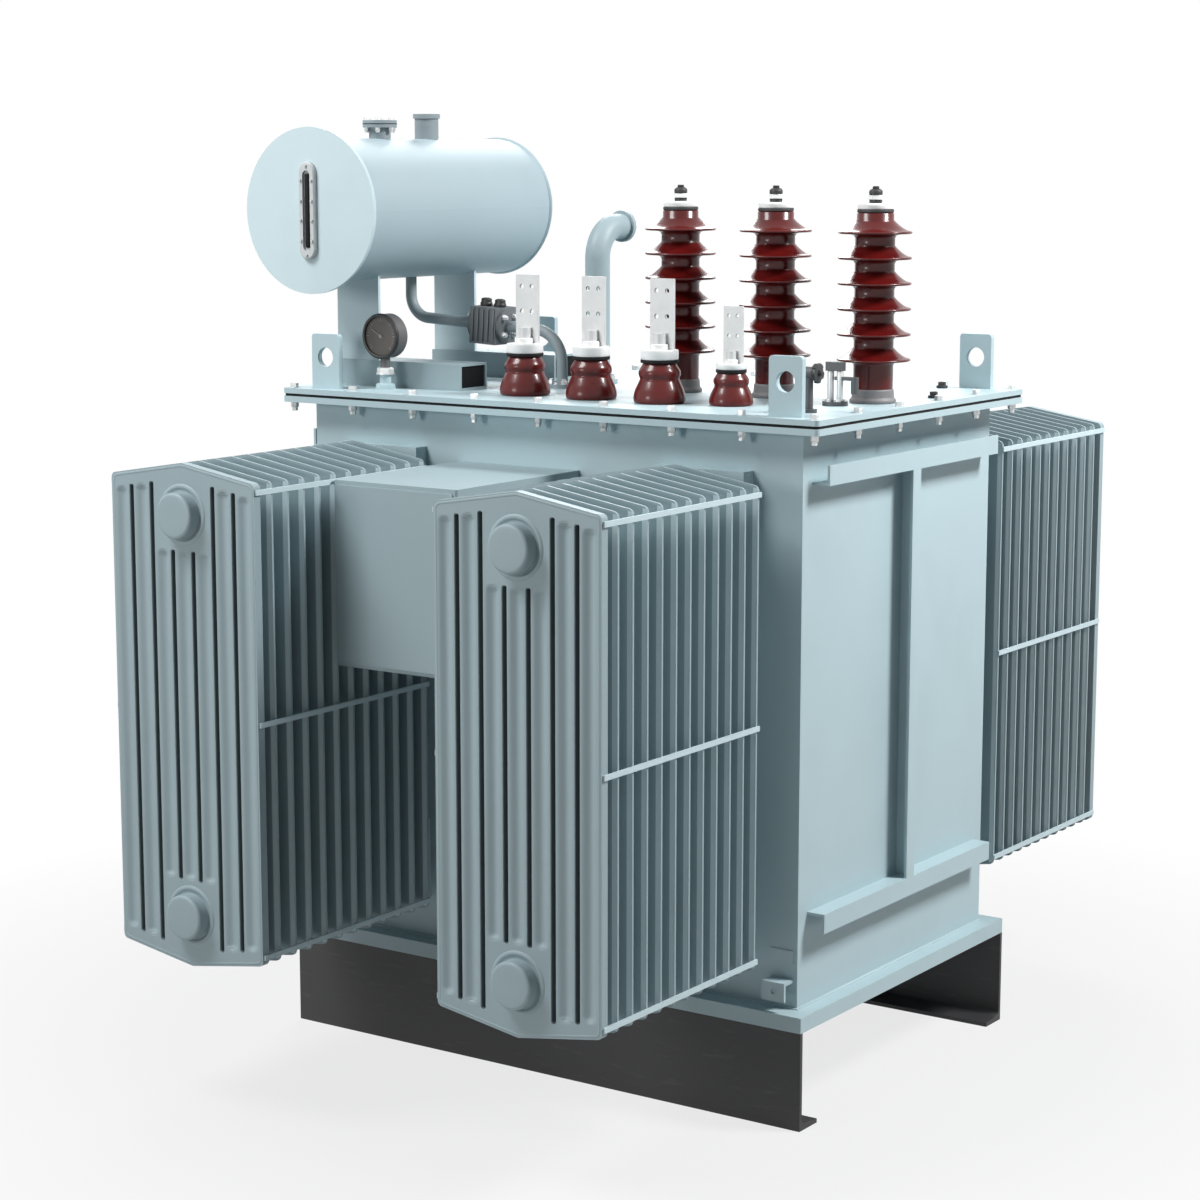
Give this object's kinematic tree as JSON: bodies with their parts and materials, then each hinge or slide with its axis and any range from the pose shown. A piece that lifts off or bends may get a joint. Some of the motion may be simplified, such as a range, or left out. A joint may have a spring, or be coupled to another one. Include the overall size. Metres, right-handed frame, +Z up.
{
  "type": "power transformer",
  "caption": "Oil-filled power transformer: finned radiators on a welded tank, shed bushings and a conservator drum on its bolted cover, standing on channel skids.",
  "frame": {"origin": "on the floor under the middle of the whole outline", "axes": "+X along the tank towards the end with the high-voltage bushings, -Y towards the low-voltage front, +Z up"},
  "size_m": [1.9849, 2.946, 2.783],
  "materials": {
    "tank_paint": "pale blue-grey gloss paint",
    "radiator_paint": "mid blue-grey paint",
    "skid_paint": "charcoal paint",
    "gasket": "black rubber",
    "hv_porcelain": "oxblood glaze",
    "lv_porcelain": "red-brown glaze",
    "terminal_metal": "tinned metal",
    "cast_metal": "grey cast metal",
    "relay_metal": "dark grey paint",
    "dial_black": "black case",
    "gauge_metal": "grey metal frame"
  },
  "bodies": {
    "root": {"tank_base_plate": "tank_paint", "tank_front_wall": "tank_paint", "tank_rear_wall": "tank_paint", "tank_left_wall": "tank_paint", "tank_right_wall": "tank_paint", "tank_rim": "tank_paint", "tank_cover": "tank_paint", "right_end_stiffeners": "tank_paint", "left_end_stiffeners": "tank_paint", "right_end_upright": "tank_paint", "left_end_upright": "tank_paint", "lifting_lugs": "tank_paint", "dial_pocket": "tank_paint", "earthing_brackets": "tank_paint", "front_header_pads": "tank_paint", "rear_header_pads": "tank_paint", "terminal_box": "tank_paint", "terminal_box_door": "tank_paint", "conservator_shell": "tank_paint", "conservator_front_plate": "tank_paint", "conservator_rear_plate": "tank_paint", "conservator_front_beam": "tank_paint", "conservator_rear_beam": "tank_paint", "conservator_front_support": "tank_paint", "conservator_rear_support": "tank_paint", "filler_neck": "tank_paint", "breather_neck": "tank_paint", "relay_pipe_upper": "tank_paint", "relay_pipe_lower": "tank_paint", "pressure_vent": "tank_paint", "earthing_pads": "tank_paint", "front_left_radiator": "radiator_paint", "front_right_radiator": "radiator_paint", "rear_left_radiator": "radiator_paint", "rear_right_radiator": "radiator_paint", "front_tie_bars": "radiator_paint", "rear_tie_bars": "radiator_paint", "skid_front_channel": "skid_paint", "skid_rear_channel": "skid_paint", "cover_gasket": "gasket", "hv_porcelain_1": "hv_porcelain", "hv_porcelain_2": "hv_porcelain", "hv_porcelain_3": "hv_porcelain", "lv_porcelain_1": "lv_porcelain", "lv_porcelain_2": "lv_porcelain", "lv_porcelain_3": "lv_porcelain", "neutral_porcelain": "lv_porcelain", "lv_terminals": "terminal_metal", "hv_terminals": "terminal_metal", "hv_flanges": "cast_metal", "tap_changer_head": "cast_metal", "filling_valve": "cast_metal", "gas_relay": "relay_metal", "dial_thermometer": "dial_black", "oil_level_gauge": "gauge_metal"}
  },
  "joints": []
}
